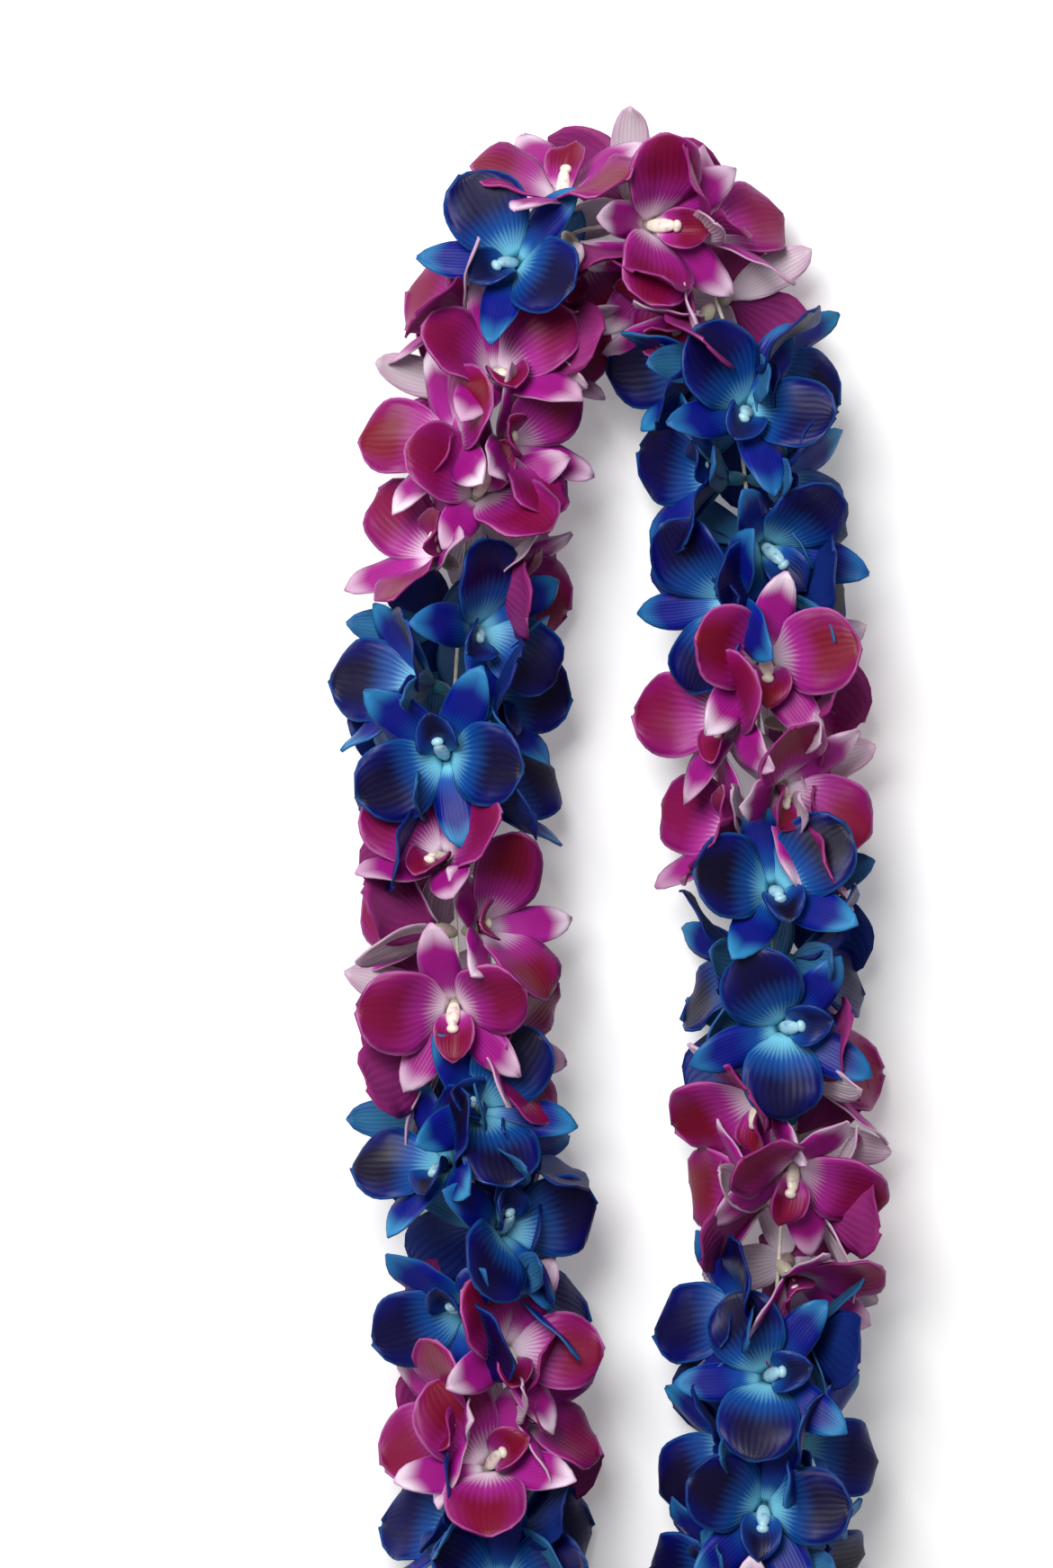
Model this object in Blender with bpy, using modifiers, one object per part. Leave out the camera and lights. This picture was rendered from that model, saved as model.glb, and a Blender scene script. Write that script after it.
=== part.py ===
"""Fresh orchid lei laid flat: blossoms sewn back to back in pairs on a knotted string.

Every pair is two dendrobium blossoms that face opposite ways, with the string run through
the sleeve where their receptacles meet. Each pair is turned a quarter turn from the last one,
and every four pairs or so the colour changes. Units are millimetres until to_metres().
"""

import math

import bmesh
import bpy
from mathutils import Matrix, Vector

# --- driving dimensions, in millimetres -------------------------------------------------
# The loop's centre line seen from above, clockwise from the middle of the bottom bend.
ROUTE = [
    (2, -241), (-17, -236), (-31, -223), (-37, -204), (-38, -170), (-39, -133), (-41, -94),
    (-45, -55), (-48, -14), (-50, 28), (-51, 69), (-49, 110), (-45, 151), (-39, 183),
    (-35, 204), (-27, 221), (-12, 232), (7, 232), (23, 221), (32, 204), (35, 183),
    (39, 151), (42, 110), (43, 69), (46, 28), (49, -14), (50, -55), (48, -94),
    (45, -133), (42, -170), (40, -204), (34, -223), (20, -236),
]
ROUTE_SAMPLES = 40  # points between two neighbours of ROUTE
STRING_HEIGHT = 29.284  # of the centre line above the table
SHIFT = (0.484, 3.594)  # puts the middle of the loop's footprint on the origin

# Pairs in each band of one colour, in the route's order. Bands alternate in colour.
BANDS = [2, 4, 3, 4, 4, 4, 5, 1, 4, 5, 4, 3, 4, 5, 4]
BAND_COLOURS = ("magenta", "blue")

STRING_RADIUS = 0.6
BORE_WIDTH = 2.0
SLEEVE = (9.0, 4.4)  # length along the string, and width
# Length along the cup's slope and greatest width, of the two broad petals and three sepals.
TEPAL_SIZE = {"petal": (29.0, 24.0), "sepal": (30.5, 12.5)}
TEPAL_KINDS = ("sepal", "petal", "sepal", "sepal", "petal")  # round the blossom, upper one first
TEPAL_OUTLINE = ((0.58, 0.5), (1.0, 0.0))  # share of the length, and half width there
TEPAL_THICKNESS = 0.9
THROAT_RADIUS = 3.2
THROAT_HEIGHT = 5.0  # from the string's axis up to where the tepals part
# How far the tepals lean from the blossom's own axis in degrees, and shares of their full
# length and width. Tight bends of the loop press the inner blossoms shut.
POSTURES = {"open": (41.0, 1.0, 1.0), "cupped": (31.0, 0.92, 0.8), "folded": (6.0, 0.68, 0.28)}
TIGHT_RADIUS = 100.0  # of the loop, under which the blossoms are cupped and folded
COLUMN = (1.6, 0.9, 9.0)  # radius at foot and at tip, and length

COLOURS = {
    "magenta": ((0.33, 0.012, 0.12, 1), 0.45),
    "blue": ((0.006, 0.012, 0.2, 1), 0.45),
    "string": ((0.8, 0.78, 0.7, 1), 0.8),
}
MM = 0.001


# --- the loop ---------------------------------------------------------------------------
def smooth_loop(points, samples):
    """A closed Catmull-Rom curve through the points, as many short steps."""
    points = [(x + SHIFT[0], y + SHIFT[1], STRING_HEIGHT) for x, y in points]
    line = []
    for i, start in enumerate(points):
        before, end, after = points[i - 1], points[(i + 1) % len(points)], points[(i + 2) % len(points)]
        for k in range(samples):
            t = k / samples
            line.append(Vector([
                0.5 * (2 * b + (c - a) * t + (2 * a - 5 * b + 4 * c - d) * t**2
                       + (3 * b - a - 3 * c + d) * t**3)
                for a, b, c, d in zip(before, start, end, after)
            ]))
    return line


def evenly_along(line, count):
    """count points at equal distances round a closed line, from its first point on."""
    steps = [(line[(i + 1) % len(line)] - p).length for i, p in enumerate(line)]
    pitch = sum(steps) / count
    found, travelled = [], 0.0
    for i, step in enumerate(steps):
        while len(found) < count and travelled + step > len(found) * pitch:
            share = (len(found) * pitch - travelled) / step
            found.append(line[i].lerp(line[(i + 1) % len(line)], share))
        travelled += step
    return found


def loop_radius(before, here, after):
    """Radius of the circle through three points."""
    a, b, c = (here - before).length, (after - here).length, (after - before).length
    area = (here - before).cross(after - before).length / 2
    return a * b * c / (4 * area) if area > 1e-6 else math.inf


# --- building blocks --------------------------------------------------------------------
def collection_named(name):
    made = bpy.data.collections.new(name)
    bpy.context.scene.collection.children.link(made)
    return made


def add_object(name, data, collection):
    made = bpy.data.objects.new(name, data)
    collection.objects.link(made)
    return made


def to_mesh(name, build):
    """A mesh filled by build, a function that takes an empty bmesh."""
    bm = bmesh.new()
    build(bm)
    bmesh.ops.recalc_face_normals(bm, faces=bm.faces)
    mesh = bpy.data.meshes.new(name)
    bm.to_mesh(mesh)
    bm.free()
    return mesh


def finish(name, color, roughness):
    """A Principled material."""
    made = bpy.data.materials.new(name)
    made.use_nodes = True
    shader = made.node_tree.nodes["Principled BSDF"]
    shader.inputs["Base Color"].default_value = color
    shader.inputs["Roughness"].default_value = roughness
    return made


def flower_mesh(posture):
    """The five tepals of a blossom and the floor they part from, as one open sheet. They
    rise along the blossom's axis (+Z) and lean out from it; the first leans towards +X."""
    angle, length_share, width_share = POSTURES[posture]
    slope = math.radians(angle)

    def build(bm):
        bmesh.ops.create_circle(bm, cap_ends=True, segments=5, radius=THROAT_RADIUS)
        bmesh.ops.rotate(bm, verts=bm.verts, matrix=Matrix.Rotation(math.radians(18), 3, "Z"))
        bmesh.ops.translate(bm, verts=bm.verts, vec=(0, 0, THROAT_HEIGHT))
        for edge in list(bm.edges):
            foot = (edge.verts[0].co + edge.verts[1].co) / 2
            bearing = math.degrees(math.atan2(foot.y, foot.x))
            length, width = TEPAL_SIZE[TEPAL_KINDS[round(bearing / 72) % 5]]
            outward = Vector((foot.x, foot.y, 0)).normalized()
            across = Vector((-outward.y, outward.x, 0))
            up_slope = outward * math.sin(slope) + Vector((0, 0, math.cos(slope)))
            for along, half in TEPAL_OUTLINE:
                grown = bmesh.ops.extrude_edge_only(bm, edges=[edge])["geom"]
                ends = [g for g in grown if isinstance(g, bmesh.types.BMVert)]
                edge = next(e for e in ends[0].link_edges if e.other_vert(ends[0]) is ends[1])
                for v in ends:
                    side = math.copysign(half * width * width_share, (v.co - foot).dot(across))
                    v.co = foot + up_slope * along * length * length_share + across * side
        bmesh.ops.remove_doubles(bm, verts=bm.verts, dist=0.01)

    return to_mesh("flower_sheet", build)


def cone_mesh(name, foot_radius, tip_radius, start, length, sides):
    """A closed cone along +Z from start."""
    def build(bm):
        bmesh.ops.create_cone(
            bm, cap_ends=True, segments=sides, radius1=foot_radius, radius2=tip_radius, depth=length
        )
        bmesh.ops.translate(bm, verts=bm.verts, vec=(0, 0, start + length / 2))

    return to_mesh(name, build)


def block_mesh(name, length, width, height):
    """A closed block with its length along X, centred on the origin."""
    def build(bm):
        bmesh.ops.create_cube(bm, size=1)
        bmesh.ops.scale(bm, verts=bm.verts, vec=(length, width, height))

    return to_mesh(name, build)


def add_boolean(obj, tool, operation):
    step = obj.modifiers.new(tool.name, "BOOLEAN")
    step.operation = operation
    step.object = tool


def helper(obj):
    """Marks an object that only shapes another one."""
    obj.hide_render = True
    obj.display_type = "WIRE"
    return obj


# --- one pair of blossoms ---------------------------------------------------------------
def blossom_pieces(tag, posture, turn, tools):
    """The solids that make one blossom about its own +Z, turned by the matrix turn."""
    column = cone_mesh("column", COLUMN[0], COLUMN[1], THROAT_HEIGHT + 0.2, COLUMN[2], 4)
    flower = add_object(f"flower_{tag}", flower_mesh(posture), tools)
    shell = flower.modifiers.new("thickness", "SOLIDIFY")
    shell.thickness = TEPAL_THICKNESS
    shell.offset = 0
    pieces = [flower, add_object(f"column_{tag}", column, tools)]
    for piece in pieces:
        piece.matrix_world = turn
        helper(piece)
    return pieces


def pair_mesh(upper, lower, tools):
    """Two blossoms joined at the sleeve that the string runs through, from the postures of
    the one that faces +Z and of the one that faces -Z."""
    tag = f"{upper}_{lower}"
    body = block_mesh("sleeve", *SLEEVE, 2 * THROAT_HEIGHT - 0.3)
    sleeve = helper(add_object(f"sleeve_{tag}", body, tools))
    flip = Matrix.Rotation(math.pi, 4, "X")
    pieces = blossom_pieces(f"{tag}_up", upper, Matrix.Identity(4), tools)
    pieces += blossom_pieces(f"{tag}_down", lower, flip, tools)
    for piece in pieces:
        add_boolean(sleeve, piece, "UNION")
    passage = block_mesh("bore", 2 * SLEEVE[0], BORE_WIDTH, BORE_WIDTH)
    bore = helper(add_object(f"bore_{tag}", passage, tools))
    add_boolean(sleeve, bore, "DIFFERENCE")
    bpy.context.view_layer.update()
    graph = bpy.context.evaluated_depsgraph_get()
    mesh = bpy.data.meshes.new_from_object(sleeve.evaluated_get(graph))
    mesh.name = f"blossom_pair_{tag}"
    return mesh


# --- the whole lei ----------------------------------------------------------------------
def add_string(points, material, lei):
    """The closed string through every sleeve, straight inside each one."""
    curve = bpy.data.curves.new("string", "CURVE")
    curve.dimensions = "3D"
    spline = curve.splines.new("POLY")
    spline.points.add(len(points) - 1)
    for spot, p in zip(spline.points, points):
        spot.co = (*p, 1)
    spline.use_cyclic_u = True
    curve.bevel_depth = STRING_RADIUS
    curve.bevel_resolution = 1
    curve.materials.append(material)
    add_object("string", curve, lei)


def add_pairs(points, materials, tools, lei):
    """A pair on every second stretch of the string, each a quarter turn on from the last."""
    open_pair = pair_mesh("open", "open", tools)
    cupped_pair = pair_mesh("cupped", "cupped", tools)
    inner_pair = pair_mesh("folded", "open", tools)
    colours = [BAND_COLOURS[i % 2] for i, size in enumerate(BANDS) for _ in range(size)]
    count = len(points) // 2
    for i, colour in enumerate(colours):
        start, end = points[2 * i], points[2 * i + 1]
        middle = (start + end) / 2
        before = (points[2 * i - 2] + points[2 * i - 1]) / 2
        j = (i + 1) % count
        after = (points[2 * j] + points[2 * j + 1]) / 2
        sideways = i % 2 == 1
        tight = loop_radius(before, middle, after) < TIGHT_RADIUS
        mesh = (inner_pair if sideways else cupped_pair) if tight else open_pair
        mesh = mesh.copy()
        mesh.materials.append(materials[colour])
        pair = add_object(f"blossom_pair_{i + 1:02d}_{colour}", mesh, lei)
        heading = math.atan2(end.y - start.y, end.x - start.x)
        roll = Matrix.Rotation(math.radians(90 if sideways else 0), 4, "X")
        pair.matrix_world = Matrix.Translation(middle) @ Matrix.Rotation(heading, 4, "Z") @ roll


def to_metres(objects):
    for obj in objects:
        obj.matrix_world = Matrix.Scale(MM, 4) @ obj.matrix_world


def main():
    for obj in list(bpy.data.objects):
        bpy.data.objects.remove(obj)
    lei, tools = collection_named("orchid_lei"), collection_named("shaping_tools")
    materials = {name: finish(name, *look) for name, look in COLOURS.items()}
    line = smooth_loop(ROUTE, ROUTE_SAMPLES)
    points = evenly_along(line, 2 * sum(BANDS))
    add_string(points, materials["string"], lei)
    add_pairs(points, materials, tools, lei)
    to_metres(lei.objects)


main()
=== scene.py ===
"""A fresh orchid lei laid flat: 112 dendrobium blossoms in magenta and blue bands, threaded
back to back on one closed string. Lengths are in millimetres until a mesh is finished."""

import math
import random

import bmesh
import bpy
from mathutils import Matrix, Vector


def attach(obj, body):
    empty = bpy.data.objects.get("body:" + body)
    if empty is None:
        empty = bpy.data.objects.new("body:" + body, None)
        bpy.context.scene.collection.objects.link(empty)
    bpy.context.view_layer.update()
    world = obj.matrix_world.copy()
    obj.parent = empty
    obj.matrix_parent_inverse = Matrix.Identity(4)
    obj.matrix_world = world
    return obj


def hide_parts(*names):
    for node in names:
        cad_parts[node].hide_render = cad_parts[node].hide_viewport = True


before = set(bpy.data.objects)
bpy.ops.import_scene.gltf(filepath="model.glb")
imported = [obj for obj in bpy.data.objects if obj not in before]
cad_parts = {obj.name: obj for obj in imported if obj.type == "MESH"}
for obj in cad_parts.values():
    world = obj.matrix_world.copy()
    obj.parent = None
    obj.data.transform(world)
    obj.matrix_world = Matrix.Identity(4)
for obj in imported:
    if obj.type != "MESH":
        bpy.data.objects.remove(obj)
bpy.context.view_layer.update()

bl_info = {
    "name": "Orchid Lei",
    "version": (1, 0, 0),
    "blender": (4, 5, 0),
    "location": "3D View > Sidebar > Lei",
    "description": "Builds a two-colour orchid lei laid flat, blossom by blossom",
    "category": "Add Mesh",
}

MM = 0.001
UP = Vector((0, 0, 1))


# --- settings ---------------------------------------------------------------------------
def rgb(red, green, blue):
    """A shader colour from screen values of 0 to 255."""
    def linear(part):
        part /= 255
        return part / 12.92 if part <= 0.04045 else ((part + 0.055) / 1.055)**2.4

    return (linear(red), linear(green), linear(blue), 1.0)


def size_setting(name, description, millimetres):
    """A length that can be changed, kept in metres."""
    return bpy.props.FloatProperty(
        name=name, description=description, default=millimetres * MM, min=0.1 * MM, precision=5,
        unit="LENGTH",
    )


def colour_setting(name, description, red, green, blue):
    """A colour that can be changed, given in screen values."""
    return bpy.props.FloatVectorProperty(
        name=name, description=description, default=rgb(red, green, blue), size=4, min=0.0, max=1.0,
        subtype="COLOR",
    )


class LeiSizes(bpy.types.PropertyGroup):
    """The sizes of a blossom's pieces and of the string"""

    petal_length: size_setting("Petal length", "From a petal's foot to its tip", 30)
    petal_width: size_setting("Petal width", "Across the widest part of a petal", 25)
    upper_sepal_length: size_setting("Upper sepal length", "From the upper sepal's foot to its tip", 30)
    upper_sepal_width: size_setting("Upper sepal width", "Across the upper sepal", 12.5)
    side_sepal_length: size_setting("Side sepal length", "From a lower sepal's foot to its tip", 31)
    side_sepal_width: size_setting("Side sepal width", "Across a lower sepal", 13.5)
    lip_length: size_setting("Lip length", "From the lip's foot to its tip", 19)
    lip_width: size_setting("Lip width", "Across the lip before it curls up", 12.5)
    thickness: size_setting("Thickness", "Through a petal, sepal or lip", 0.6)
    string_thickness: size_setting("String thickness", "Across the cotton string", 1.2)


class MagentaColours(bpy.types.PropertyGroup):
    """The colours of the magenta blossoms"""

    throat: colour_setting("Throat", "The pale middle of the blossom", 240, 222, 238)
    inner: colour_setting("Inner", "Round the throat", 172, 44, 150)
    petal: colour_setting("Petal", "The body of a petal", 134, 16, 100)
    deep: colour_setting("Deep", "The darkest part of a petal, and its veins", 116, 6, 34)
    sepal: colour_setting("Sepal", "The body of a sepal", 158, 22, 136)
    sepal_tip: colour_setting("Sepal tip", "The pale end of a sepal", 236, 220, 234)
    edge: colour_setting("Edge", "The thin rim of petals and sepals", 206, 122, 192)
    back: colour_setting("Sepal back", "Behind a sepal", 214, 200, 208)
    petal_back: colour_setting("Petal back", "Behind a petal", 140, 42, 112)
    lip: colour_setting("Lip", "The body of the lip", 128, 12, 78)
    column: colour_setting("Column", "The waxy column over the lip", 244, 236, 214)
    stem: colour_setting("Stem", "The short tube behind the blossom", 168, 164, 140)


class BlueColours(bpy.types.PropertyGroup):
    """The colours of the dyed blue blossoms"""

    throat: colour_setting("Throat", "The pale middle of the blossom", 120, 200, 222)
    inner: colour_setting("Inner", "Round the throat", 20, 84, 162)
    petal: colour_setting("Petal", "The body of a petal", 3, 8, 96)
    deep: colour_setting("Deep", "The darkest part of a petal, and its veins", 12, 3, 32)
    sepal: colour_setting("Sepal", "The body of a sepal", 7, 22, 132)
    sepal_tip: colour_setting("Sepal tip", "The pale end of a sepal", 44, 132, 182)
    edge: colour_setting("Edge", "The thin rim of petals and sepals", 30, 98, 168)
    back: colour_setting("Sepal back", "Behind a sepal", 50, 116, 158)
    petal_back: colour_setting("Petal back", "Behind a petal", 12, 40, 112)
    lip: colour_setting("Lip", "The body of the lip", 10, 40, 120)
    column: colour_setting("Column", "The waxy column over the lip", 170, 216, 228)
    stem: colour_setting("Stem", "The short tube behind the blossom", 50, 104, 122)


class StageSettings(bpy.types.PropertyGroup):
    """The string's cotton, the table and the light"""

    cotton: colour_setting("Cotton", "The string's pale fibres", 232, 226, 210)
    # The cotton shade is painted shade: a darker tone that stands in for the shadow between the string's
    # fibres.
    cotton_painted_shade: colour_setting("Cotton shade", "Between the string's fibres", 176, 168, 148)
    table: colour_setting("Table", "The surface the lei lies on", 247, 247, 247)
    key_watts: bpy.props.FloatProperty(
        name="Key light", description="Power of the broad light overhead", default=33.0, min=0.0,
        unit="POWER",
    )
    sky: bpy.props.FloatProperty(
        name="Sky", description="Strength of the even light all round", default=0.27, min=0.0
    )


# --- the loop ---------------------------------------------------------------------------
# The string's route seen from above, clockwise from the middle of the bottom bend.
ROUTE = [
    (2, -241), (-17, -236), (-31, -223), (-37, -204), (-38, -170), (-39, -133), (-41, -94),
    (-45, -55), (-48, -14), (-50, 28), (-51, 69), (-49, 110), (-45, 151), (-39, 183),
    (-35, 204), (-27, 221), (-12, 232), (7, 232), (23, 221), (32, 204), (35, 183),
    (39, 151), (42, 110), (43, 69), (46, 28), (49, -14), (50, -55), (48, -94),
    (45, -133), (42, -170), (40, -204), (34, -223), (20, -236),
]
ROUTE_SAMPLES = 40
STRING_HEIGHT = 29.284
# Brings the middle of the lei's box to the origin.
SHIFT = (0.484, 3.594)
# How many back-to-back pairs of blossoms each band of colour has.
BANDS = [2, 4, 3, 4, 4, 4, 5, 1, 4, 5, 4, 3, 4, 5, 4]
COLOURS = ("magenta", "blue")
STRING_POINTS = 560
# How much thinner the string is at every other point, between its twists.
STRING_TWIST = 0.14


def smooth_loop(points, samples):
    """A closed Catmull-Rom curve through the points, as many short steps."""
    points = [(x + SHIFT[0], y + SHIFT[1], STRING_HEIGHT) for x, y in points]
    line = []
    for i, start in enumerate(points):
        before = points[i - 1]
        end = points[(i + 1) % len(points)]
        after = points[(i + 2) % len(points)]
        for k in range(samples):
            t = k / samples
            line.append(Vector([
                0.5 * (2 * b + (c - a) * t + (2 * a - 5 * b + 4 * c - d) * t**2
                       + (3 * b - a - 3 * c + d) * t**3)
                for a, b, c, d in zip(before, start, end, after)
            ]))
    return line


def evenly_along(line, count):
    """count points at equal distances round a closed line, from its first point on."""
    steps = [(line[(i + 1) % len(line)] - p).length for i, p in enumerate(line)]
    pitch = sum(steps) / count
    found, travelled = [], 0.0
    for i, step in enumerate(steps):
        while len(found) < count and travelled + step > len(found) * pitch:
            share = (len(found) * pitch - travelled) / step
            found.append(line[i].lerp(line[(i + 1) % len(line)], share))
        travelled += step
    return found


LINE = smooth_loop(ROUTE, ROUTE_SAMPLES)
STATIONS = evenly_along(LINE, 2 * sum(BANDS))
PAIR_COLOURS = [COLOURS[i % 2] for i, size in enumerate(BANDS) for _ in range(size)]


# --- how each blossom sits --------------------------------------------------------------
# The first number is the turn round the string: 0 faces up, 90 the inside of the loop, 180
# down and -90 the outside. The rest are the blossom's nod along the string, the bearing of
# its upper sepal as seen from above, how far it opens (1 is full), and its lift along its own
# axis. Side a is the one that faces up or inwards.
POSES = {
    (7, "a"): (-6, 26, 200, 0.95, 2), (8, "a"): (62, 8, 20, 0.8, 2), (8, "b"): (-58, 4, 160, 0.9, 2),
    (9, "a"): (30, 12, 60, 1.0, 4), (10, "b"): (-36, -20, 265, 0.95, 3), (10, "a"): (80, 10, 20, 0.8, 1),
    (11, "a"): (40, 6, 300, 1.0, 4), (12, "b"): (-42, 22, 120, 0.9, 4), (12, "a"): (70, 30, 30, 0.85, 1),
    (13, "a"): (24, 10, 350, 0.95, 2), (14, "b"): (-96, -12, 180, 0.72, 1), (14, "a"): (64, 0, 0, 0.8, 1),
    (15, "a"): (-8, -14, 95, 0.92, 5), (16, "b"): (-88, 16, 150, 0.7, 0), (16, "a"): (48, 10, 10, 0.9, 3),
    (17, "a"): (-20, 30, 80, 0.8, 3), (18, "b"): (-70, 0, 210, 0.9, 1), (18, "a"): (74, 24, 330, 0.8, 2),
    (19, "a"): (-10, -6, 280, 0.98, 4), (20, "b"): (-64, 10, 130, 0.75, 2), (20, "a"): (66, 0, 60, 0.7, 1),
    (21, "a"): (34, 4, 30, 1.0, 3), (22, "b"): (-52, 20, 190, 0.85, 3), (22, "a"): (78, -10, 290, 0.75, 1),
    (23, "a"): (10, 26, 240, 0.94, 4), (24, "b"): (-40, 6, 110, 0.9, 4), (24, "a"): (46, 14, 350, 0.85, 4),
    (25, "a"): (4, 30, 100, 0.85, 3), (26, "b"): (-78, 18, 200, 0.95, 5), (26, "a"): (80, 0, None, 0.4, -1),
    (27, "a"): (-20, 6, 42, 1.0, 5), (28, "b"): (-56, 16, 262, 1.0, 6), (28, "a"): (64, 6, None, 0.62, -2),
    (29, "a"): (-4, 34, 176, 1.0, 5), (30, "b"): (-70, 10, 60, 0.9, 2), (30, "a"): (58, 4, None, 0.6, -2),
    (31, "a"): (58, 30, 330, 0.8, 2), (32, "b"): (-60, 20, 20, 0.8, 2), (32, "a"): (72, 10, None, 0.45, 0),
    (33, "a"): (-12, -8, 60, 0.95, 4), (34, "b"): (-66, 10, 15, 0.85, 1), (34, "a"): (70, -6, 200, 0.8, 0),
    (35, "a"): (-22, 18, 130, 0.9, 3), (36, "b"): (-84, 0, 30, 0.8, 0), (36, "a"): (44, 4, 190, 1.0, 4),
    (37, "a"): (-8, 4, 86, 0.92, 4), (38, "b"): (-80, 12, 0, 0.85, 2), (38, "a"): (50, -2, 115, 1.0, 3),
    (39, "a"): (-34, 14, 40, 0.86, 3), (40, "b"): (-74, -8, 340, 0.9, 0), (40, "a"): (70, -20, 200, 0.8, 0),
    (41, "a"): (-4, -16, 104, 0.9, 5), (42, "b"): (-76, 6, 10, 0.8, 0), (42, "a"): (82, 0, 180, 0.75, -1),
    (43, "a"): (-2, 6, 196, 1.0, 6), (44, "b"): (-82, -14, 30, 0.8, 1), (44, "a"): (56, 30, 120, 0.95, 2),
    (45, "a"): (-14, 34, 70, 1.0, 5), (46, "b"): (-96, 0, 10, 0.95, 3), (46, "a"): (84, 0, 190, 0.8, -1),
    (47, "a"): (-40, 34, 320, 0.8, 0), (48, "b"): (-92, 10, 350, 0.9, 2), (48, "a"): (64, -10, 140, 0.85, 1),
    (49, "a"): (8, -14, 184, 1.0, 5), (50, "b"): (-56, 0, 50, 0.9, 3), (50, "a"): (70, 10, 170, 0.85, 1),
    (51, "a"): (-2, 0, 80, 0.97, 5), (52, "b"): (-78, 10, 330, 0.8, 1), (52, "a"): (66, 16, 230, 0.85, 0),
    # Blossoms that face down and outwards, with a sepal that shows its pale back at the edge.
    (9, "b"): (-146, 0, 172, 1.0, 4), (13, "b"): (-148, 0, 184, 1.0, 4), (15, "b"): (-144, 0, 172, 1.0, 5),
    (19, "b"): (-146, 0, 212, 1.0, 4), (21, "b"): (-148, 0, 178, 1.0, 4), (25, "b"): (-140, 0, 168, 1.0, 5),
    (29, "b"): (-138, 0, 84, 1.0, 7), (31, "b"): (-156, 0, 26, 1.0, 4), (33, "b"): (-166, 0, 342, 1.0, 4),
    (37, "b"): (-142, 0, 20, 1.0, 5), (39, "b"): (-142, 0, 16, 1.0, 5), (41, "b"): (-148, 0, 18, 1.0, 4),
    (45, "b"): (-154, 0, 354, 1.0, 4), (47, "b"): (-160, 0, 338, 1.0, 4),
}


# Pairs in the tight bends: the outer blossom opens less, and on some the inner one is shut.
BEND_PAIRS = (1, 2, 3, 27, 54, 55, 56)
SHUT_PAIRS = (2, 54, 56)
BEND_OPENING = 0.7
SHUT_OPENING = 0.34


def default_pose(pair, side, rng):
    """A blossom's seat where POSES says nothing. Odd pairs face up and down, even ones
    inwards and outwards."""
    sideways = pair % 2 == 0
    facings = (90, -90) if sideways else (0, 180)
    around = facings["ab".index(side)] + rng.uniform(-20, 20)
    nod = 14 + rng.uniform(-14, 14)
    opening = rng.uniform(0.66, 0.88) if sideways else rng.uniform(0.78, 1.0)
    if side == "a" and pair in SHUT_PAIRS:
        opening = SHUT_OPENING
    elif side == "b" and pair in BEND_PAIRS:
        opening = min(opening, BEND_OPENING)
    return around, nod, None, opening, rng.uniform(-1.0, 3.0)


# --- building blossoms ------------------------------------------------------------------
SLOTS = ("petal", "sepal", "petal_back", "sepal_back", "lip", "column", "stem")
CREASE_WIDTH = 0.22
# Tepals end just short of their outline's two points, so that no face there has no width.
END_MARGIN = 0.004


class Outline:
    """The plan and cross-section of one kind of tepal, in millimetres. It is widest at peak, a
    share of its length. Fullness rounds its sides and point its tip."""

    def __init__(self, length, width, thickness, claw, peak, fullness, point, cup, groove, ruffle, grid):
        self.length, self.width, self.thickness = length / MM, width / MM, thickness / MM
        self.claw, self.peak, self.fullness, self.point = claw, peak, fullness, point
        self.cup, self.groove, self.ruffle, self.grid = cup, groove, ruffle, grid

    def half_width(self, u):
        """Half the width at a share u of the length."""
        bend = math.log(0.5) / math.log(self.peak)
        t = u**bend
        round_part = max(0.0, 1 - abs(2 * t - 1)**self.fullness)**self.point
        return max(self.width / 2 * round_part, self.claw / 2 * (1 - u)**2)


def tepal_outlines(sizes):
    """The outlines of a blossom's petals, sepals and lip."""
    return {
        "petal": Outline(
            sizes.petal_length, sizes.petal_width, sizes.thickness, claw=4.5, peak=0.58,
            fullness=2.3, point=0.62, cup=1.6, groove=0.5, ruffle=1.3, grid=(12, 8),
        ),
        "upper_sepal": Outline(
            sizes.upper_sepal_length, sizes.upper_sepal_width, sizes.thickness, claw=4.0, peak=0.5,
            fullness=2.2, point=0.66, cup=-1.1, groove=0.6, ruffle=0.5, grid=(12, 6),
        ),
        "side_sepal": Outline(
            sizes.side_sepal_length, sizes.side_sepal_width, sizes.thickness, claw=4.5, peak=0.46,
            fullness=2.2, point=0.7, cup=-1.2, groove=0.6, ruffle=0.6, grid=(12, 6),
        ),
        "lip": Outline(
            sizes.lip_length, sizes.lip_width, sizes.thickness, claw=3.5, peak=0.55,
            fullness=2.1, point=0.8, cup=3.8, groove=0.8, ruffle=0.9, grid=(10, 8),
        ),
    }


def midrib(length, angles, steps):
    """Points (radius, height) and slopes along a tepal whose lean from the blossom's axis
    runs smoothly through the three angles, from foot to tip."""
    foot, middle, tip = (math.radians(a) for a in angles)
    spots, slopes, r, z = [], [], 0.0, 0.0
    for i in range(steps + 1):
        u = i / steps
        lean = foot + (middle - foot) * min(1, 2 * u) + (tip - middle) * max(0, 2 * u - 1)**1.5
        spots.append((r, z))
        slopes.append(lean)
        r += math.sin(lean) * length / steps
        z += math.cos(lean) * length / steps
    return spots, slopes


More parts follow.
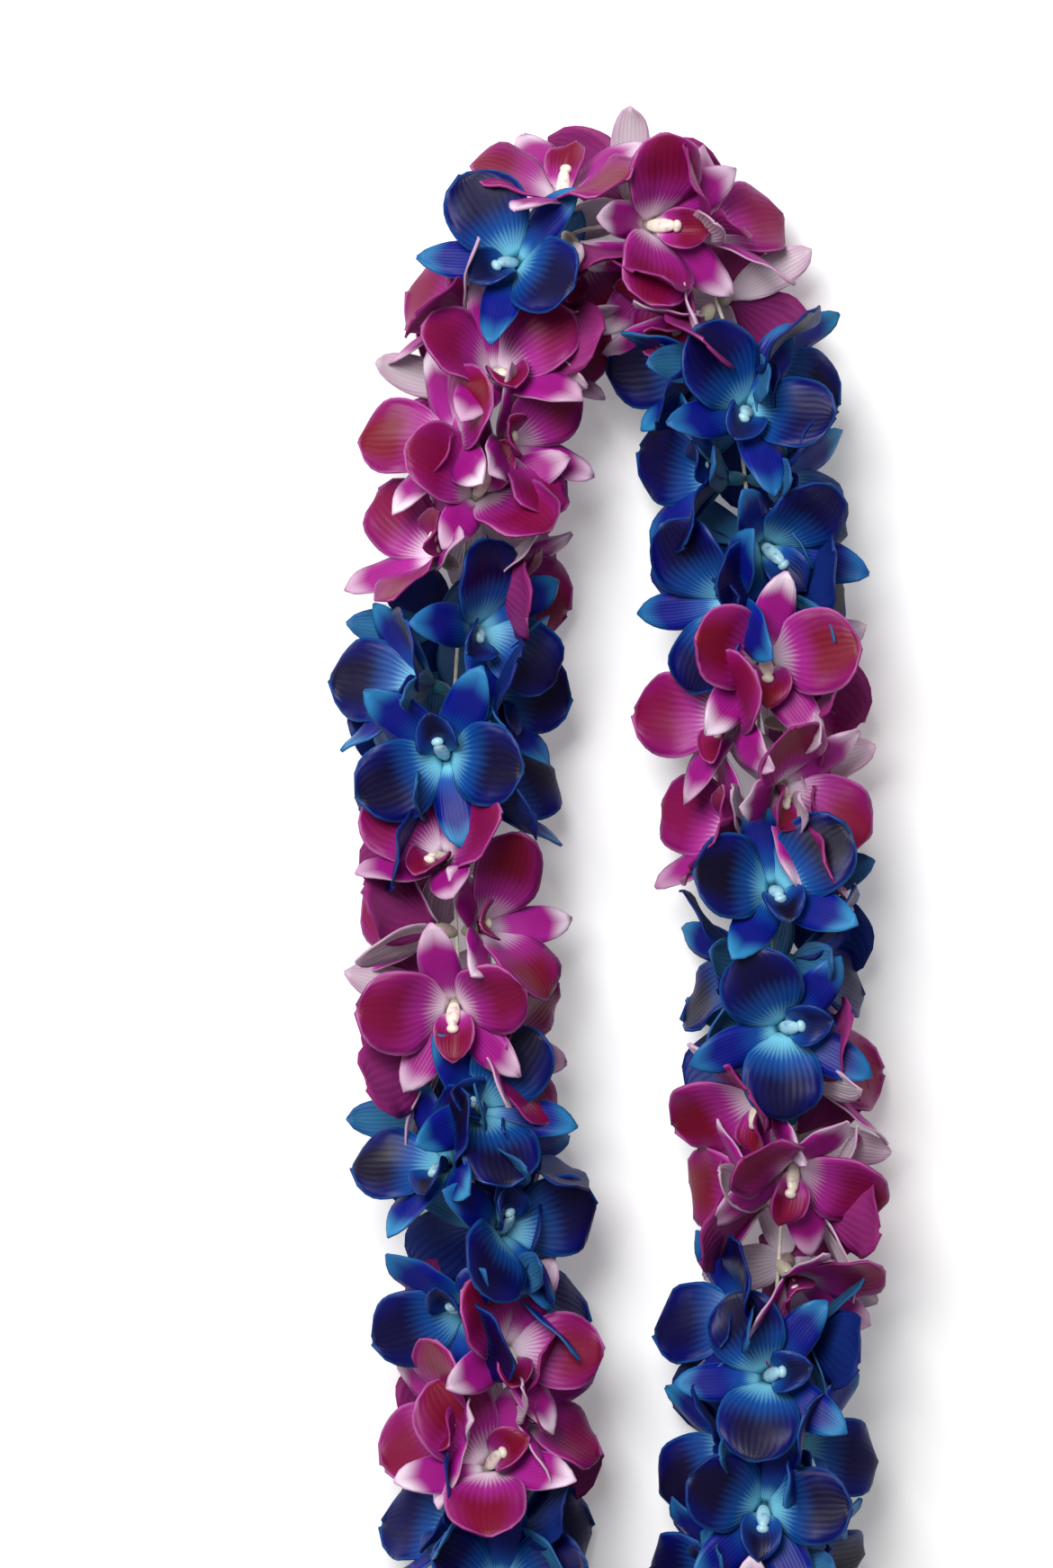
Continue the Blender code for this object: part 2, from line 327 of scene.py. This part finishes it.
def add_tepal(bm, outline, bearing, angles, root, slots, rng, scale=1.0, twist=0.0):
    """One petal, sepal or lip: a shaped grid given a thickness, with its own front and back
    finish. The tepal map holds the share of the length and width under each corner."""
    steps, lanes = outline.grid
    before = set(bm.faces)
    made = bmesh.ops.create_grid(bm, x_segments=steps, y_segments=lanes, size=0.5)["verts"]
    faces = [f for f in bm.faces if f not in before]
    flat = {v: (v.co.x + 0.5, 2 * v.co.y) for v in made}
    tepal_map = bm.loops.layers.uv.get("tepal") or bm.loops.layers.uv.new("tepal")
    for face in faces:
        face.material_index = SLOTS.index(slots[0])
        face.smooth = True
        for loop in face.loops:
            u, v = flat[loop.vert]
            loop[tepal_map].uv = (u, 0.5 + v / 2)
    length = outline.length * scale
    spots, slopes = midrib(length, angles, steps)
    phase = rng.uniform(0, 6.3)
    waves = math.tau * rng.uniform(1.6, 2.6)
    sway = rng.uniform(-0.9, 0.9)
    for vert, (u, v) in flat.items():
        i = min(steps, round(u * steps))
        (r, z), lean = spots[i], slopes[i]
        half = outline.half_width(min(max(u, END_MARGIN), 1 - END_MARGIN)) * scale
        roll = outline.cup * v**2 * (half / outline.width * 2) * math.sin(math.pi * min(1, u * 1.15))
        crease = outline.groove * math.exp(-((v / CREASE_WIDTH)**2)) * math.sin(math.pi * u)
        wave = outline.ruffle * abs(v)**2.5 * math.sin(waves * u + phase + 1.3 * (v > 0)) * u
        rise = roll - crease + wave
        across = v * half + sway * math.sin(math.pi * u)
        turn = math.radians(twist) * u
        side = across * math.cos(turn) - rise * math.sin(turn)
        rise = across * math.sin(turn) + rise * math.cos(turn)
        vert.co = (
            root[0] + r - rise * math.cos(lean),
            side,
            root[1] + z + rise * math.sin(lean),
        )
    spin = Matrix.Rotation(math.radians(bearing), 3, "Z")
    bmesh.ops.rotate(bm, verts=made, matrix=spin)
    bmesh.ops.recalc_face_normals(bm, faces=faces)
    middle = faces[len(faces) // 2]
    if middle.normal.z < 0:
        bmesh.ops.reverse_faces(bm, faces=faces)
    bmesh.ops.solidify(bm, geom=faces, thickness=outline.thickness)
    for face in set(bm.faces) - before - set(faces):
        face.smooth = True
        face.material_index = SLOTS.index(slots[1])


def add_pod(bm, size, place, slot):
    """A closed egg shape of the given half-axes, set in place by a matrix."""
    before = set(bm.faces)
    made = bmesh.ops.create_uvsphere(bm, u_segments=10, v_segments=7, radius=1)["verts"]
    bmesh.ops.scale(bm, verts=made, vec=size)
    bmesh.ops.transform(bm, verts=made, matrix=place)
    for face in set(bm.faces) - before:
        face.material_index = SLOTS.index(slot)
        face.smooth = True


def lean_matrix(bearing, lean, foot):
    """Moves +Z to a slope of lean from the axis, at bearing, starting from foot."""
    return (
        Matrix.Translation(foot)
        @ Matrix.Rotation(math.radians(bearing), 4, "Z")
        @ Matrix.Rotation(math.radians(lean), 4, "Y")
    )


def jitter(rng, amount):
    """A small chance difference, up to amount either way."""
    return rng.uniform(-amount, amount)


# Each leafy tepal's outline, its bearing round the blossom, and the slots of its face and back.
TEPALS = (
    ("upper_sepal", 0, ("sepal", "sepal_back")),
    ("side_sepal", 140, ("sepal", "sepal_back")),
    ("side_sepal", -140, ("sepal", "sepal_back")),
    ("petal", 74, ("petal", "petal_back")),
    ("petal", -74, ("petal", "petal_back")),
)
# How far from the blossom's axis they lean at the foot, middle and tip when fully open.
PETAL_LEAN = (34, 66, 80)
SEPAL_LEAN = (42, 74, 84)
# The tepals start round the top of the stem, the petals a little above the sepals.
NECK_HEIGHT = 6.5
NECK_RADIUS = 1.6
PETAL_RISE = 0.9
COLUMN_SIZE = (1.6, 2.3, 5.4)
CAP_SIZE = (1.5, 2.0, 1.5)
STEM_SIZE = (2.4, 2.4, 4.6)


def blossom_shape(bm, outlines, opening, rng):
    """One blossom that faces +Z with its upper sepal towards +X and its foot at the origin."""
    curl = rng.uniform(-8, 26)
    for kind, bearing, slots in TEPALS:
        petal = kind == "petal"
        foot, middle, tip = PETAL_LEAN if petal else SEPAL_LEAN
        angles = (
            foot * opening + 4,
            middle * opening + jitter(rng, 5),
            tip * opening + jitter(rng, 7) + curl * opening,
        )
        root = (NECK_RADIUS, NECK_HEIGHT + PETAL_RISE if petal else NECK_HEIGHT)
        add_tepal(
            bm, outlines[kind], bearing + jitter(rng, 5), angles, root, slots, rng,
            scale=rng.uniform(0.94, 1.06), twist=jitter(rng, 14),
        )
    angles = (22, 44 * opening + 8, 84)
    add_tepal(bm, outlines["lip"], 180, angles, (1.0, NECK_HEIGHT + 1.0), ("lip", "petal_back"), rng)
    throat = (0.6, 0, NECK_HEIGHT + 0.5)
    column = lean_matrix(180, 30, throat) @ Matrix.Translation((0, 0, 4.6))
    cap = lean_matrix(180, 36, throat) @ Matrix.Translation((0, 0, 9.6))
    add_pod(bm, COLUMN_SIZE, column, "column")
    add_pod(bm, CAP_SIZE, cap, "column")
    add_pod(bm, STEM_SIZE, Matrix.Translation((0, 0, 4.0)), "stem")


# Below the first height the table flattens the petals, and above the second their own
# weight does, within so much more room.
PRESS_HEIGHT = 4
SLUMP_HEIGHT = 60
SLUMP_ROOM = 6


def settle(bm):
    """Presses what reaches below the table flat onto it, and eases what stands too high."""
    for vert in bm.verts:
        z = vert.co.z
        if z < PRESS_HEIGHT:
            vert.co.z = PRESS_HEIGHT * math.exp((z - PRESS_HEIGHT) / PRESS_HEIGHT)
        elif z > SLUMP_HEIGHT:
            vert.co.z = SLUMP_HEIGHT + SLUMP_ROOM * math.tanh((z - SLUMP_HEIGHT) / SLUMP_ROOM)


def station(pair):
    """The middle of a pair's sleeve and the string's direction there."""
    start, end = STATIONS[2 * pair - 2], STATIONS[2 * pair - 1]
    return (start + end) / 2, (end - start).normalized()


FIRST_SEED = 1000


def make_blossom(pair, side, outlines, finishes):
    """One blossom as its own piece, threaded at its pair's place on the string."""
    rng = random.Random(FIRST_SEED + 2 * pair + "ab".index(side))
    chance_pose = default_pose(pair, side, rng)
    around, nod, bearing, opening, lift = POSES.get((pair, side), chance_pose)
    middle, along = station(pair)
    inward = along.cross(UP).normalized()
    a, n = math.radians(around), math.radians(nod)
    facing = (UP * math.cos(a) + inward * math.sin(a)) * math.cos(n) + along * math.sin(n)
    upper = Matrix.Rotation(rng.uniform(-0.9, 0.9), 3, facing) @ along
    if bearing is not None:
        upper = Vector((math.cos(math.radians(bearing)), math.sin(math.radians(bearing)), 0))
    upper = (upper - facing * upper.dot(facing)).normalized()
    basis = Matrix((upper, facing.cross(upper), facing)).transposed().to_4x4()
    bm = bmesh.new()
    blossom_shape(bm, outlines, opening, rng)
    bm.transform(Matrix.Translation(middle + facing * lift) @ basis)
    settle(bm)
    colour = PAIR_COLOURS[pair - 1]
    piece = finish_piece(f"blossom_{pair:02d}{side}_{colour}", bm, finishes)
    tint = piece.data.attributes.new("tint", "FLOAT", "POINT")
    tint.data.foreach_set("value", [rng.random()] * len(piece.data.vertices))
    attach(piece, "root")
    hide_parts(f"blossom_pair_{pair:02d}_{colour}")


def finish_piece(name, bm, materials):
    """The bmesh, in millimetres, as an object in metres at the origin."""
    bmesh.ops.scale(bm, verts=bm.verts, vec=(MM, MM, MM))
    mesh = bpy.data.meshes.new(name)
    bm.to_mesh(mesh)
    bm.free()
    for material in materials:
        mesh.materials.append(material)
    piece = bpy.data.objects.new(name, mesh)
    bpy.context.scene.collection.objects.link(piece)
    return piece


# --- shader maths -----------------------------------------------------------------------
BUMP_DEPTH = 0.4 * MM
# The numbers of a Mix node's factor, its two colours, and the colour it gives.
MIX_SHARE, MIX_FIRST, MIX_SECOND, MIX_RESULT = 0, 6, 7, 2


class Value:
    """A shader socket that can be used in Python sums."""

    def __init__(self, shader, socket):
        self.shader, self.socket = shader, socket

    def _math(self, operation, *others):
        sockets = {i: value for i, value in enumerate(others)}
        return self.shader.node("ShaderNodeMath", {"operation": operation}, sockets)

    def __add__(self, other):
        return self._math("ADD", self, other)

    def __sub__(self, other):
        return self._math("SUBTRACT", self, other)

    def __rsub__(self, other):
        return self._math("SUBTRACT", other, self)

    def __mul__(self, other):
        return self._math("MULTIPLY", self, other)

    def __truediv__(self, other):
        return self._math("DIVIDE", self, other)

    def __pow__(self, other):
        return self._math("POWER", self, other)

    def __abs__(self):
        return self._math("ABSOLUTE", self)

    __radd__ = __add__
    __rmul__ = __mul__

    def sine(self):
        return self._math("SINE", self)

    def step(self, low, high):
        """0 below low, 1 above high and smooth between."""
        settings = {"interpolation_type": "SMOOTHSTEP"}
        sockets = {"Value": self, "From Min": low, "From Max": high, "To Min": 0.0, "To Max": 1.0}
        return self.shader.node("ShaderNodeMapRange", settings, sockets)


class Shader:
    """A Principled material that is built up with node() calls."""

    def __init__(self, name, roughness, **constants):
        self.material = bpy.data.materials.new(name)
        self.material.use_nodes = True
        self.tree = self.material.node_tree
        self.surface = self.tree.nodes["Principled BSDF"]
        self.surface.inputs["Roughness"].default_value = roughness
        for socket, value in constants.items():
            self.surface.inputs[socket.replace("_", " ")].default_value = value

    def node(self, kind, settings=None, sockets=None, output=0):
        """A node with its settings made and its sockets linked or set, as one of its outputs."""
        made = self.tree.nodes.new(kind)
        for name, value in (settings or {}).items():
            setattr(made, name, value)
        for key, value in (sockets or {}).items():
            if isinstance(value, Value):
                self.tree.links.new(value.socket, made.inputs[key])
            else:
                made.inputs[key].default_value = value
        return Value(self, made.outputs[output])

    def mix(self, share, first, second):
        """A colour between two others."""
        sockets = {MIX_SHARE: share, MIX_FIRST: first, MIX_SECOND: second}
        return self.node("ShaderNodeMix", {"data_type": "RGBA"}, sockets, MIX_RESULT)

    def noise(self, scale, detail):
        """Soft blotches fixed to the piece, with scale of them to a metre."""
        place = self.node("ShaderNodeTexCoord", output="Object")
        return self.node("ShaderNodeTexNoise", None, {"Vector": place, "Scale": scale, "Detail": detail})

    def feed(self, name, value):
        """Links a value to a socket of the surface."""
        self.tree.links.new(value.socket, self.surface.inputs[name])

    def bump(self, height, strength):
        """Relief on the surface."""
        sockets = {"Strength": strength, "Distance": BUMP_DEPTH, "Height": height}
        self.feed("Normal", self.node("ShaderNodeBump", None, sockets))

    def along_and_across(self):
        """The shares of a tepal's length, 0 to 1, and of its width, -1 to 1."""
        corners = self.node("ShaderNodeUVMap", {"uv_map": "tepal"})
        along = self.node("ShaderNodeSeparateXYZ", None, {"Vector": corners}, "X")
        across = self.node("ShaderNodeSeparateXYZ", None, {"Vector": corners}, "Y")
        return along, across * 2 - 1

    def fan_of_veins(self, along, across, count, waver):
        """Fine stripes that spread from a tepal's foot, 0 between veins and 1 on them."""
        fan = across / (along * 0.5 + 0.5)
        return (fan * count + waver).sine() * 0.5 + 0.5

    def tint(self):
        """The blossom's own number, 0 to 1."""
        return self.node("ShaderNodeAttribute", {"attribute_name": "tint"}, output="Fac")


# --- finishes ---------------------------------------------------------------------------
# How far along each kind of tepal the pale throat runs.
THROAT_REACH = {"petal": 0.34, "sepal": 0.24, "lip": 0.3}


def petal_finish(name, colours, kind):
    """The face of a petal, sepal or lip: a pale throat that bleeds outwards along the veins
    into the full colour, a deeper middle, and a thin pale rim."""
    shader = Shader(name, 0.42, Specular_IOR_Level=0.22)
    along, across = shader.along_and_across()
    grain = shader.noise(160.0, 3.0)
    blotch = shader.noise(55.0, 2.0)
    tint = shader.tint()
    veins = shader.fan_of_veins(along, across, 30, blotch * 5)
    reach = THROAT_REACH[kind]
    bleed = along + (blotch - 0.5) * 0.16 - veins * 0.07 + abs(across) * 0.06
    open_throat = 1 - bleed.step(0.03, reach)
    inner_zone = 1 - bleed.step(reach * 0.7, reach + 0.28)
    body = getattr(colours, kind)
    middle = along.step(0.28, 0.62) * (1 - abs(across).step(0.3, 0.95))
    depth = 0.15 if kind == "sepal" else tint * 0.5 + 0.5
    colour = shader.mix(middle * depth, body, colours.deep)
    colour = shader.mix(veins * 0.07, colour, colours.deep)
    colour = shader.mix(inner_zone * 0.85, colour, colours.inner)
    colour = shader.mix(open_throat, colour, colours.throat)
    if kind == "sepal":
        tips = (along + abs(across) * 0.1 + (blotch - 0.5) * 0.1).step(0.72, 0.96)
        colour = shader.mix(tips * (0.3 + tint * 0.7), colour, colours.sepal_tip)
    rim = (abs(across)**6 + along**14).step(0.5, 1.0)
    colour = shader.mix(rim * 0.55, colour, colours.edge)
    shader.feed("Base Color", colour)
    shader.feed("Roughness", 0.36 + grain * 0.16)
    shader.bump(veins * 0.4 + grain * 0.8, 0.26)
    return shader.material


def back_finish(name, base, blush):
    """The back of a petal or sepal: paler, veined, and flushed with the face's colour."""
    shader = Shader(name, 0.55, Specular_IOR_Level=0.25)
    along, across = shader.along_and_across()
    blotch = shader.noise(60.0, 3.0)
    veins = shader.fan_of_veins(along, across, 24, blotch * 4)
    flush = (abs(across) * 0.5 + along * 0.35 + (blotch - 0.5) * 0.5).step(0.2, 0.95)
    colour = shader.mix(flush * 0.4, base, blush)
    colour = shader.mix(veins * 0.13, colour, blush)
    shader.feed("Base Color", colour)
    shader.bump(veins, 0.3)
    return shader.material


def waxy_finish(name, base, shade, scale):
    """The waxy column or stem, with faint freckles."""
    shader = Shader(name, 0.35, Coat_Weight=0.15)
    freckles = shader.noise(scale, 3.0)
    shader.feed("Base Color", shader.mix(freckles.step(0.45, 0.75) * 0.5, base, shade))
    shader.bump(freckles, 0.2)
    return shader.material


def blossom_finishes(colour, colours):
    """The materials of one colour of blossom, in the order of SLOTS."""
    return [
        petal_finish(f"{colour}_petal", colours, "petal"),
        petal_finish(f"{colour}_sepal", colours, "sepal"),
        back_finish(f"{colour}_petal_back", colours.petal_back, colours.petal),
        back_finish(f"{colour}_sepal_back", colours.back, colours.sepal),
        petal_finish(f"{colour}_lip", colours, "lip"),
        waxy_finish(f"{colour}_column", colours.column, colours.inner, 500.0),
        waxy_finish(f"{colour}_stem", colours.stem, colours.inner, 300.0),
    ]


def string_finish(base, shade):
    """Twisted cotton, with painted shade between its fibres laid on as random blotches."""
    shader = Shader("cotton_string", 0.85, Sheen_Weight=0.3)
    fibres = shader.noise(900.0, 3.0)
    # Painted shade: random blotches of the darker cotton tone stand in for the shadow between the fibres.
    shader.feed("Base Color", shader.mix(fibres, base, shade))
    shader.bump(fibres, 0.5)
    return shader.material


# --- operators --------------------------------------------------------------------------
def build_blossoms(context, colour, colours):
    """Every blossom of one colour."""
    outlines = tepal_outlines(context.scene.lei_sizes)
    finishes = blossom_finishes(colour, colours)
    pairs = [pair for pair, pair_colour in enumerate(PAIR_COLOURS, 1) if pair_colour == colour]
    if not pairs:
        raise ValueError(f"no pair of blossoms on the string is {colour}")
    for pair in pairs:
        for side in "ab":
            make_blossom(pair, side, outlines, finishes)


class LEI_OT_magenta_blossoms(bpy.types.Operator):
    """Makes the magenta blossoms"""

    bl_idname = "lei.magenta_blossoms"
    bl_label = "Magenta Blossoms"

    def execute(self, context):
        build_blossoms(context, "magenta", context.scene.lei_magenta)
        return {"FINISHED"}


class LEI_OT_blue_blossoms(bpy.types.Operator):
    """Makes the blue blossoms"""

    bl_idname = "lei.blue_blossoms"
    bl_label = "Blue Blossoms"

    def execute(self, context):
        build_blossoms(context, "blue", context.scene.lei_blue)
        return {"FINISHED"}


class LEI_OT_string(bpy.types.Operator):
    """Makes the closed string through all the blossoms"""

    bl_idname = "lei.string"
    bl_label = "String"

    def execute(self, context):
        settings = context.scene.lei_stage
        thread = bpy.data.curves.new("lei_string", "CURVE")
        thread.dimensions = "3D"
        thread.bevel_depth = context.scene.lei_sizes.string_thickness / 2
        thread.bevel_resolution = 2
        spline = thread.splines.new("POLY")
        spline.points.add(STRING_POINTS - 1)
        for i, place in enumerate(evenly_along(LINE, STRING_POINTS)):
            spline.points[i].co = (*(place * MM), 1.0)
            spline.points[i].radius = 1.0 - STRING_TWIST * (i % 2)
        spline.use_cyclic_u = True
        thread.materials.append(string_finish(settings.cotton, settings.cotton_painted_shade))
        piece = bpy.data.objects.new("lei_string", thread)
        context.scene.collection.objects.link(piece)
        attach(piece, "root")
        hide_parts("string")
        return {"FINISHED"}


# The stage is in metres.
TABLE_REACH = 4.0
TABLE_GLOW = 0.2
WHITE = (1, 1, 1, 1)
SOFTBOX_WIDTH = 0.9
SOFTBOX_PLACE = (-0.5, 0.75, 1.5)
SOFTBOX_AIM = Vector((0, 0.05, 0))
# The camera looks straight down on the middle of a view this long, at the string's height.
VIEW_MIDDLE = (-0.0278, 0.0667)
VIEW_LENGTH = 0.479
CAMERA_DISTANCE = 1.5
SENSOR_HEIGHT = 36.0


class LEI_OT_stage(bpy.types.Operator):
    """Adds the pale table, the light and the camera overhead"""

    bl_idname = "lei.stage"
    bl_label = "Stage"

    def execute(self, context):
        settings = context.scene.lei_stage
        bm = bmesh.new()
        bmesh.ops.create_grid(bm, x_segments=1, y_segments=1, size=TABLE_REACH)
        table = bpy.data.meshes.new("table")
        bm.to_mesh(table)
        bm.free()
        shader = Shader("table", 0.9)
        shader.surface.inputs["Base Color"].default_value = settings.table
        shader.surface.inputs["Emission Color"].default_value = WHITE
        shader.surface.inputs["Emission Strength"].default_value = TABLE_GLOW
        table.materials.append(shader.material)
        floor = bpy.data.objects.new("table", table)
        context.scene.collection.objects.link(floor)

        world = bpy.data.worlds.new("studio")
        world.use_nodes = True
        sky = world.node_tree.nodes["Background"]
        sky.inputs["Color"].default_value = WHITE
        sky.inputs["Strength"].default_value = settings.sky
        context.scene.world = world
        lamp = bpy.data.lights.new("softbox", "AREA")
        lamp.energy = settings.key_watts
        lamp.shape = "SQUARE"
        lamp.size = SOFTBOX_WIDTH
        softbox = bpy.data.objects.new("softbox", lamp)
        softbox.location = SOFTBOX_PLACE
        towards_lei = SOFTBOX_AIM - softbox.location
        softbox.rotation_euler = towards_lei.to_track_quat("-Z", "Y").to_euler()
        context.scene.collection.objects.link(softbox)

        lens = bpy.data.cameras.new("camera")
        lens.sensor_fit = "VERTICAL"
        lens.sensor_height = SENSOR_HEIGHT
        lens.lens = SENSOR_HEIGHT * CAMERA_DISTANCE / VIEW_LENGTH
        camera = bpy.data.objects.new("camera", lens)
        camera.location = (*VIEW_MIDDLE, CAMERA_DISTANCE + STRING_HEIGHT * MM)
        context.scene.collection.objects.link(camera)
        context.scene.camera = camera
        context.scene.view_settings.view_transform = "Standard"
        return {"FINISHED"}


class LEI_PT_sidebar(bpy.types.Panel):
    """Lists the lei's pieces, and their sizes and colours"""

    bl_idname = "LEI_PT_sidebar"
    bl_label = "Orchid Lei"
    bl_space_type = "VIEW_3D"
    bl_region_type = "UI"
    bl_category = "Lei"

    def draw(self, context):
        layout = self.layout
        for operator in OPERATORS:
            layout.operator(operator.bl_idname)
        for group in SETTINGS:
            settings = getattr(context.scene, group)
            layout.label(text=settings.bl_rna.description)
            for name in settings.__annotations__:
                layout.prop(settings, name)


OPERATORS = (LEI_OT_string, LEI_OT_magenta_blossoms, LEI_OT_blue_blossoms, LEI_OT_stage)
SETTINGS = {
    "lei_sizes": LeiSizes,
    "lei_magenta": MagentaColours,
    "lei_blue": BlueColours,
    "lei_stage": StageSettings,
}
CLASSES = (*SETTINGS.values(), *OPERATORS, LEI_PT_sidebar)


def register():
    """Adds the settings, operators and panel."""
    for cls in CLASSES:
        bpy.utils.register_class(cls)
    for name, group in SETTINGS.items():
        setattr(bpy.types.Scene, name, bpy.props.PointerProperty(type=group))


def unregister():
    """Takes them away again."""
    for name in SETTINGS:
        delattr(bpy.types.Scene, name)
    for cls in reversed(CLASSES):
        bpy.utils.unregister_class(cls)


def main():
    """Builds the lei and its stage."""
    register()
    bpy.ops.lei.string()
    bpy.ops.lei.magenta_blossoms()
    bpy.ops.lei.blue_blossoms()
    bpy.ops.lei.stage()


if __name__ == "__main__":
    main()
